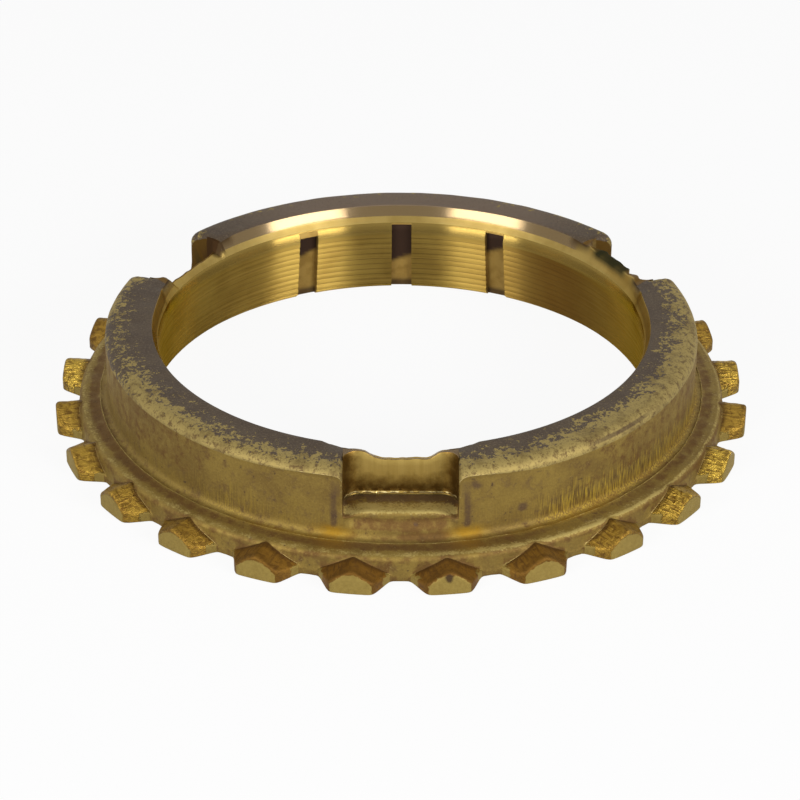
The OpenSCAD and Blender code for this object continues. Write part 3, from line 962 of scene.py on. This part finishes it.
# The die's streaks are finer than the picture shows, so they are drawn 0.12 mm wide
upright = add(tree, "Mapping", {"Vector": place_in, "Scale": UPRIGHT})
lines = add(tree, "TexNoise", {"Vector": upright, "Scale": PER_MM / 0.12, "Detail": 1.0, "Roughness": 0.6})
bright_lines = add(tree, "MapRange", {0: lines, 1: 0.53, 2: 0.64})
bright_lines = add(tree, "Math", {0: bright_lines, 1: streak_in}, operation="MULTIPLY")
dark_lines = add(tree, "MapRange", {0: lines, 1: 0.51, 2: 0.42, 4: 0.9})
dark_lines = add(tree, "Math", {0: dark_lines, 1: streak_in}, operation="MULTIPLY")
stained_and_shaded = add(tree, "Math", {0: mottle, 1: 1.8, 2: -0.9}, operation="MULTIPLY_ADD")
stained_and_shaded = add(tree, "Math", {0: stained_and_shaded, 1: grime_and_shade_in}, operation="ADD")
# Painted shadow in the channel at the foot of the slots' walls, mottled
painted_shadow = add(tree, "Math", {0: mottle, 1: 4.0, 2: -2.0}, operation="MULTIPLY_ADD")
painted_shadow = add(tree, "Math", {0: painted_shadow, 1: tar_and_shadow_in}, operation="ADD")
painted_shadow = add(tree, "MapRange", {0: painted_shadow, 1: 0.42, 2: 0.58, 4: 0.9})
shadow_reach = add(tree, "MapRange", {0: tar_and_shadow_in, 2: 0.2})
painted_shadow = add(tree, "Math", {0: painted_shadow, 1: shadow_reach}, operation="MULTIPLY")
# Painted golden glow of bounced light at the collar's foot
bounce_light_share = add(tree, "MapRange", {0: mottle, 1: 0.4, 2: 0.6, 3: 0.6, 4: 1.15})
bounce_light_share = add(tree, "Math", {0: bounce_light_in, 1: bounce_light_share}, operation="MULTIPLY")
dark_marked = add(tree, "Math", {0: mottle, 1: dark_marks_and_shade_in}, operation="MULTIPLY")
# Rubbed bright edges, and the painted highlight on the teeth's heels
rubbed_and_glint = add(tree, "Math", {0: mottle, 1: 2.0, 2: -1.9}, operation="MULTIPLY_ADD")
rubbed_and_glint = add(tree, "Math", {0: grain, 1: 1.8, 2: rubbed_and_glint}, operation="MULTIPLY_ADD")
rubbed_and_glint = add(tree, "Math", {0: rubbed_and_glint, 1: worn_and_glint_in}, operation="ADD")
metal = layered(tree, linear("#826c33"), (
    (cloud, 0.42, 0.6, 1, "#725c2c"),
    (mottle, 0.53, 0.66, 0.6, "#5c4630"),
    (grain, 0.53, 0.65, 0.25, "#56432a"),
    (grain, 0.47, 0.36, 0.25, "#917c42"),
    (specks, 0.68, 0.74, 0.8, "#4a3a28"),
    (bright_lines, 0, 1, 1, "#a0872f"),
    (dark_lines, 0, 1, 1, "#533e20"),
    (stained_and_shaded, 0.3, 0.65, 0.85, "#634722"),
    (stained_and_shaded, 0.75, 1.4, 0.8, "#433019"),
    (painted_shadow, 0, 1, 1, "#624d32"),
    (bounce_light_share, 0.05, 1, 0.8, "#987418"),
    (dark_marked, 0.1, 0.4, 0.8, "#54402f"),
    (rubbed_and_glint, 0.4, 0.9, 0.85, "#a89558"),
))
height = add(tree, "Math", {0: lines, 1: streak_in}, operation="MULTIPLY")
height = add(tree, "Math", {0: grain, 1: 0.5, 2: height}, operation="MULTIPLY_ADD")
height = add(tree, "Math", {0: mottle, 1: 0.8, 2: height}, operation="MULTIPLY_ADD")
bump = add(tree, "Bump", {"Height": height, "Strength": 0.7, "Distance": 0.07 * MM})
shader = add(tree, "BsdfPrincipled", {
    "Base Color": metal,
    "Metallic": 0.8,
    "Roughness": add(tree, "MapRange", {0: mottle, 1: 0.35, 2: 0.7, 3: 0.6, 4: 0.74}),
    "Normal": bump,
})
add(tree, "OutputMaterial", {"Surface": shader})

# Broached brass
# The broach leaves smooth golden walls with upright tool marks and a bright burr at their foot,
# and painted shade darkens their tops, corners and lower parts and the far end of the left slot.
tree, place_in, grime_and_shade_in, worn_and_glint_in, tar_and_shadow_in, dark_marks_and_shade_in = finish_on_ring(
    "broached_brass", "grime_and_shade", "worn", "tar_and_shadow", "dark_marks_and_shade")
upright = add(tree, "Mapping", {"Vector": place_in, "Scale": UPRIGHT})
mottle, lines, grain = (
    add(tree, "TexNoise", {"Vector": where, "Scale": PER_MM / size, "Detail": fine, "Roughness": rough})
    for where, size, fine, rough in (
        (place_in, 1.2, 6.0, 0.65), (upright, 0.9, 3.0, 0.6), (place_in, 0.4, 2.0, 0.5)))
stained_and_shaded = add(tree, "Math", {0: mottle, 1: 1.2, 2: -0.6}, operation="MULTIPLY_ADD")
stained_and_shaded = add(tree, "Math", {0: stained_and_shaded, 1: grime_and_shade_in}, operation="ADD")
rubbed_and_glint = add(tree, "MapRange", {0: grain, 1: 0.35, 2: 0.6, 3: 0.3, 4: 1.2})
rubbed_and_glint = add(tree, "Math", {0: rubbed_and_glint, 1: worn_and_glint_in}, operation="MULTIPLY")
metal = layered(tree, linear("#ac9250"), (
    (lines, 0.42, 0.6, 1, "#a18747"),
    (stained_and_shaded, 0.2, 0.9, 0.95, "#5c4219"),
    (rubbed_and_glint, 0.35, 0.8, 0.95, "#d6c48a"),
    (tar_and_shadow_in, 0, 1, 1, "#302d18"),
    (dark_marks_and_shade_in, 0, 1, 1, "#3d2a17"),
))
dull = add(tree, "Math", {0: tar_and_shadow_in, 1: dark_marks_and_shade_in}, operation="MAXIMUM")
height = add(tree, "Math", {0: lines, 1: 0.25, 2: mottle}, operation="MULTIPLY_ADD")
bump = add(tree, "Bump", {"Height": height, "Strength": 0.4, "Distance": 0.05 * MM})
shader = add(tree, "BsdfPrincipled", {
    "Base Color": metal,
    "Metallic": add(tree, "MapRange", {0: dull, 3: 0.9, 4: 0}),
    "Roughness": add(tree, "MapRange", {0: dull, 3: 0.4, 4: 0.8}),
    "Specular IOR Level": 0.04,
    "Normal": bump,
})
add(tree, "OutputMaterial", {"Surface": shader})

# Trimmed teeth
# The die tore the roofs into golden crinkles that run outwards, browner on some teeth,
# and sheared the ends and the feet of the flanks into flat pale patches.
BOW_TOP = 2.52
BOW_FALL = -0.24
PATCH_HALF = 2.4
PATCH_R = 42.067
FOOT_TOP = 1.22
FOOT_R = 40.75
OUTWARDS = (0.14, 1, 1)
tree, place_in, brown_in, grime_and_shade_in, tar_and_shadow_in = finish_on_ring("trimmed_brass", "brown", "grime_and_shade", "tar_and_shadow")
lay_in = add(tree, "Attribute", {}, "Vector", attribute_name="lay")
out_in, along_in, height_in = add(tree, "SeparateXYZ", {0: lay_in}).node.outputs
ragged = add(tree, "TexNoise", {"Vector": place_in, "Scale": PER_MM / 0.5, "Detail": 4.0, "Roughness": 0.7})
ragged = add(tree, "Math", {0: ragged, 1: 0.7, 2: -0.35}, operation="MULTIPLY_ADD")

# The patch on a tooth's end lies under a bow, between the flanks and out at the tip
away = add(tree, "Math", {0: along_in}, operation="ABSOLUTE")
square = add(tree, "Math", {0: away, 1: 2.0}, operation="POWER")
bow_top = add(tree, "Math", {0: square, 1: BOW_FALL, 2: BOW_TOP}, operation="MULTIPLY_ADD")
in_bow = add(tree, "Math", {0: bow_top, 1: height_in}, operation="SUBTRACT")
in_sides = add(tree, "Math", {0: away, 1: -1.5, 2: 1.5 * PATCH_HALF}, operation="MULTIPLY_ADD")
at_end = add(tree, "Math", {0: out_in, 1: 3.0, 2: -3.0 * PATCH_R}, operation="MULTIPLY_ADD")
end_patch = add(tree, "Math", {0: in_bow, 1: in_sides}, operation="MINIMUM")
end_patch = add(tree, "Math", {0: end_patch, 1: at_end}, operation="MINIMUM")
end_patch = add(tree, "Math", {0: ragged, 1: end_patch}, operation="ADD")
low_down = add(tree, "Math", {0: FOOT_TOP, 1: height_in}, operation="SUBTRACT")
near_root = add(tree, "Math", {0: FOOT_R, 1: out_in}, operation="SUBTRACT")
foot_patch = add(tree, "Math", {0: low_down, 1: near_root}, operation="MINIMUM")
foot_patch = add(tree, "Math", {0: ragged, 1: 1.6, 2: foot_patch}, operation="MULTIPLY_ADD")
patch = add(tree, "Math", {0: end_patch, 1: foot_patch}, operation="MAXIMUM")
sheared = add(tree, "MapRange", {0: patch, 1: -0.05, 2: 0.05})

run_out = add(tree, "Mapping", {"Vector": lay_in, "Scale": OUTWARDS})
lines = add(tree, "TexNoise", {"Vector": run_out, "Scale": 1 / 0.28, "Detail": 3.0, "Roughness": 0.65})
crinkle = {"Vector": place_in, "Scale": PER_MM / 0.75, "Detail": 2.0, "Distortion": 0.8}
crinkle = add(tree, "TexNoise", crinkle)
# Painted shade: the brown roofs darken towards the tooth's nose
nose_shade = add(tree, "MapRange", {0: out_in, 1: 41.3, 2: 42.1, 4: 0.6})
nose_shade = add(tree, "Math", {0: nose_shade, 1: brown_in}, operation="MULTIPLY")
metal = layered(tree, linear("#ba9c40"), (
    (brown_in, 0, 1, 1, "#6e4a17"),
    (lines, 0.51, 0.62, 0.7, "#553a17"),
    (crinkle, 0.5, 0.36, 0.6, "#553915"),
    # Painted shade in each tooth's root crease, and the darker gaps between the teeth
    (grime_and_shade_in, 0.1, 0.9, 0.8, "#4a3216"),
    (nose_shade, 0, 1, 1, "#53380f"),
))
flat = layered(tree, linear("#8c783e"), ((ragged, -0.1, 0.15, 1, "#7e6a34"),))
surface = add(tree, "Mix", {0: sheared, 6: metal, 7: flat}, 2, data_type="RGBA")
surface = layered(tree, surface, ((tar_and_shadow_in, 0.35, 0.75, 0.9, "#3a281c"),))
depth = add(tree, "Math", {0: sheared, 1: brown_in}, operation="MAXIMUM")
crisp = add(tree, "MapRange", {0: depth, 3: 1, 4: 0.1})
height = add(tree, "Math", {0: lines, 1: crinkle}, operation="ADD")
height = add(tree, "Math", {0: height, 1: crisp}, operation="MULTIPLY")
bump = add(tree, "Bump", {"Height": height, "Strength": 1.0, "Distance": 0.3 * MM})
shader = add(tree, "BsdfPrincipled", {
    "Base Color": surface,
    "Metallic": add(tree, "MapRange", {0: depth, 3: 1, 4: 0.5}),
    "Roughness": add(tree, "MapRange", {0: depth, 3: 0.24, 4: 0.6}),
    "Specular IOR Level": 0.15,
    "Normal": bump,
})
add(tree, "OutputMaterial", {"Surface": shader})

# Faced brass
# The toothed face was faced in the lathe, which leaves it bright,
# with fine rings round the bore and a few brown stains.
tree, place_in = finish_on_ring("faced_brass")
lay_in = add(tree, "Attribute", {}, "Vector", attribute_name="lay")
ring_lay = add(tree, "Mapping", {"Vector": lay_in, "Scale": ROUND_THE_BORE})
rings = add(tree, "TexNoise", {"Vector": ring_lay, "Scale": 1 / 0.25, "Detail": 4.0, "Roughness": 0.65})
cloud = add(tree, "TexNoise", {"Vector": place_in, "Scale": PER_MM / 5, "Detail": 6.0, "Roughness": 0.65})
metal = layered(tree, linear("#957c42"), (
    (rings, 0.4, 0.65, 1, "#7c642f"),
    (cloud, 0.52, 0.7, 0.7, "#5e482c"),
))
bump = add(tree, "Bump", {"Height": rings, "Strength": 0.4, "Distance": 0.03 * MM})
shader = add(tree, "BsdfPrincipled", {
    "Base Color": metal,
    "Metallic": 0.95,
    "Roughness": 0.42,
    "Normal": bump,
})
add(tree, "OutputMaterial", {"Surface": shader})

# Each face takes the finish of the tool that made it
TURNED, BURNISHED, MILLED, SCALED, FORGED, BROACHED, TRIMMED, FACED = range(8)
MILLED_TOP = 10.2
TRIMMED_HALF = 5.8
TOP_ROWS = 14
LIP_ROWS = 3
WALL_ROWS = 11
finish = np.full(len(quads), FORGED)
mid_off = np.abs(tooth_off[here] + tooth_off[ahead]) / 2
mid_off = np.where(np.abs(tooth_off[here] - tooth_off[ahead]) > 10, TOOTH_PITCH / 2, mid_off)
crown_first = span["crown"].start
crown_end = span["crown"].stop
tooth_first = span["tooth"].start
sole_first = span["sole"].start
by_slot = in_slot[here] | in_slot[ahead]
side_wall = in_slot[here] != in_slot[ahead]
finish[row < crown_first] = BURNISHED
finish[(row >= crown_first - 1) & (row < crown_first + TOP_ROWS)] = SCALED
finish[~by_slot & (row >= crown_first - LIP_ROWS) & (row < crown_first)] = SCALED
finish[by_slot & (row >= crown_first - 1) & (row < crown_first + WALL_ROWS)] = BROACHED
finish[by_slot & (row >= crown_first + WALL_ROWS) & (row < crown_end)] = FORGED
finish[side_wall & (row >= crown_first - 1) & (row < crown_end - 1)] = BROACHED
finish[(mid_off < TRIMMED_HALF) & (row >= tooth_first + 2) & (row < sole_first)] = TRIMMED
finish[row >= sole_first + 1] = FACED
by_groove = in_groove[bore_here] | in_groove[bore_ahead]
bore_finish = np.where(by_groove & (z[bore_here, bore_row] < MILLED_TOP), MILLED, TURNED)
join_finish = np.tile([TURNED, FACED], len(kept))
finish = np.concatenate([finish, bore_finish, join_finish])
skin.polygons.foreach_set("material_index", finish.astype(np.int32))

# Floor
# The ring lies on a pale sweep of studio paper.
# It is white where nothing shades it, and takes the ring's shadow.
FLOOR_HALF = 1.5
FLOOR_Z = -0.0001
floor_corners = [(FLOOR_HALF * a, FLOOR_HALF * b, FLOOR_Z) for a, b in ((-1, -1), (1, -1), (1, 1), (-1, 1))]
floor_mesh = bpy.data.meshes.new("studio_paper")
floor_mesh.from_pydata(floor_corners, [], [(0, 1, 2, 3)])
floor = bpy.data.objects.new("studio_floor", floor_mesh)
bpy.context.scene.collection.objects.link(floor)
paper = bpy.data.materials.new("studio_paper")
paper.use_nodes = True
tree = paper.node_tree
tree.nodes.clear()
rays = add(tree, "LightPath", {}).node.outputs
seen = add(tree, "Math", {0: rays["Is Camera Ray"], 1: rays["Is Transmission Ray"]}, operation="MAXIMUM")
mirrored = add(tree, "Math", {0: rays["Is Glossy Ray"], 1: 0.4}, operation="MULTIPLY")
share = add(tree, "Math", {0: seen, 1: 0.92, 2: mirrored}, operation="MULTIPLY_ADD")
matt = add(tree, "BsdfDiffuse", {"Color": linear("#f4f4f4")})
glow = add(tree, "Emission", {"Color": linear("#ffffff"), "Strength": 1.0})
both = add(tree, "MixShader", {0: share, 1: matt, 2: glow})
add(tree, "OutputMaterial", {"Surface": both})
floor_mesh.materials.append(paper)
floor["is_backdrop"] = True

# Studio light
# Two soft boxes stand left and right of the camera.
# White walls give the rest: bright to the eye and in the metal, weak as a light.
WALL_LIGHT = 0.2
BOX_FAR = 0.6
world = bpy.data.worlds.new("studio")
bpy.context.scene.world = world
world.use_nodes = True
tree = world.node_tree
tree.nodes.clear()
rays = add(tree, "LightPath", {}).node.outputs
seen = add(tree, "Math", {0: rays["Is Camera Ray"], 1: rays["Is Glossy Ray"]}, operation="MAXIMUM")
seen = add(tree, "Math", {0: seen, 1: rays["Is Transmission Ray"]}, operation="MAXIMUM")
level = add(tree, "MapRange", {0: seen, 3: WALL_LIGHT, 4: 1.0})
sky = add(tree, "Background", {"Color": linear("#ffffff"), "Strength": level})
add(tree, "OutputWorld", {"Surface": sky})

for name, turn, rise, width, height, glare in (
    ("right_soft_box", 45.5, 21, 0.36, 0.2, 13.5),
    ("left_soft_box", -40, 21, 0.34, 0.2, 12.0),
):
    lamp = bpy.data.lights.new(name, "AREA")
    lamp.shape = "RECTANGLE"
    lamp.size = width
    lamp.size_y = height
    lamp.energy = glare * np.pi * width * height
    lamp_at = bpy.data.objects.new(name, lamp)
    heading = np.radians(FRONT + turn)
    flat = np.cos(np.radians(rise))
    place = Vector((np.cos(heading) * flat, np.sin(heading) * flat, np.sin(np.radians(rise)))) * BOX_FAR
    lamp_at.location = place
    lamp_at.rotation_euler = place.to_track_quat("Z", "Y").to_euler()
    lamp_at.visible_camera = False
    bpy.context.scene.collection.objects.link(lamp_at)

# Camera
# It stands at the photograph's distance and height and sees the photograph's frame.
# Its values come from a fit of the ring's outline, in pixels of a square picture.
IMAGE = 800
FOCUS = 2750.0
CAMERA_FAR = 0.3415
CAMERA_RISE = np.radians(30.27)
CAMERA_ROLL = 0.0039
MIDDLE_X = 400.95
MIDDLE_Y = 403.39
SENSOR = 36.0
camera = bpy.data.cameras.new("photo_camera")
camera.sensor_width = SENSOR
camera.lens = SENSOR * FOCUS / IMAGE
camera.shift_x = (IMAGE / 2 - MIDDLE_X) / IMAGE
camera.shift_y = (MIDDLE_Y - IMAGE / 2) / IMAGE
camera.clip_start = 0.01
camera_at = bpy.data.objects.new("photo_camera", camera)
stand = Vector((0, -np.cos(CAMERA_RISE), np.sin(CAMERA_RISE))) * CAMERA_FAR
turn = stand.to_track_quat("Z", "Y").to_matrix().to_4x4() @ Matrix.Rotation(CAMERA_ROLL, 4, "Z")
camera_at.matrix_world = Matrix.Translation(stand) @ turn
bpy.context.scene.collection.objects.link(camera_at)
bpy.context.scene.camera = camera_at
bpy.context.scene.view_settings.view_transform = "Standard"

low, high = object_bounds()
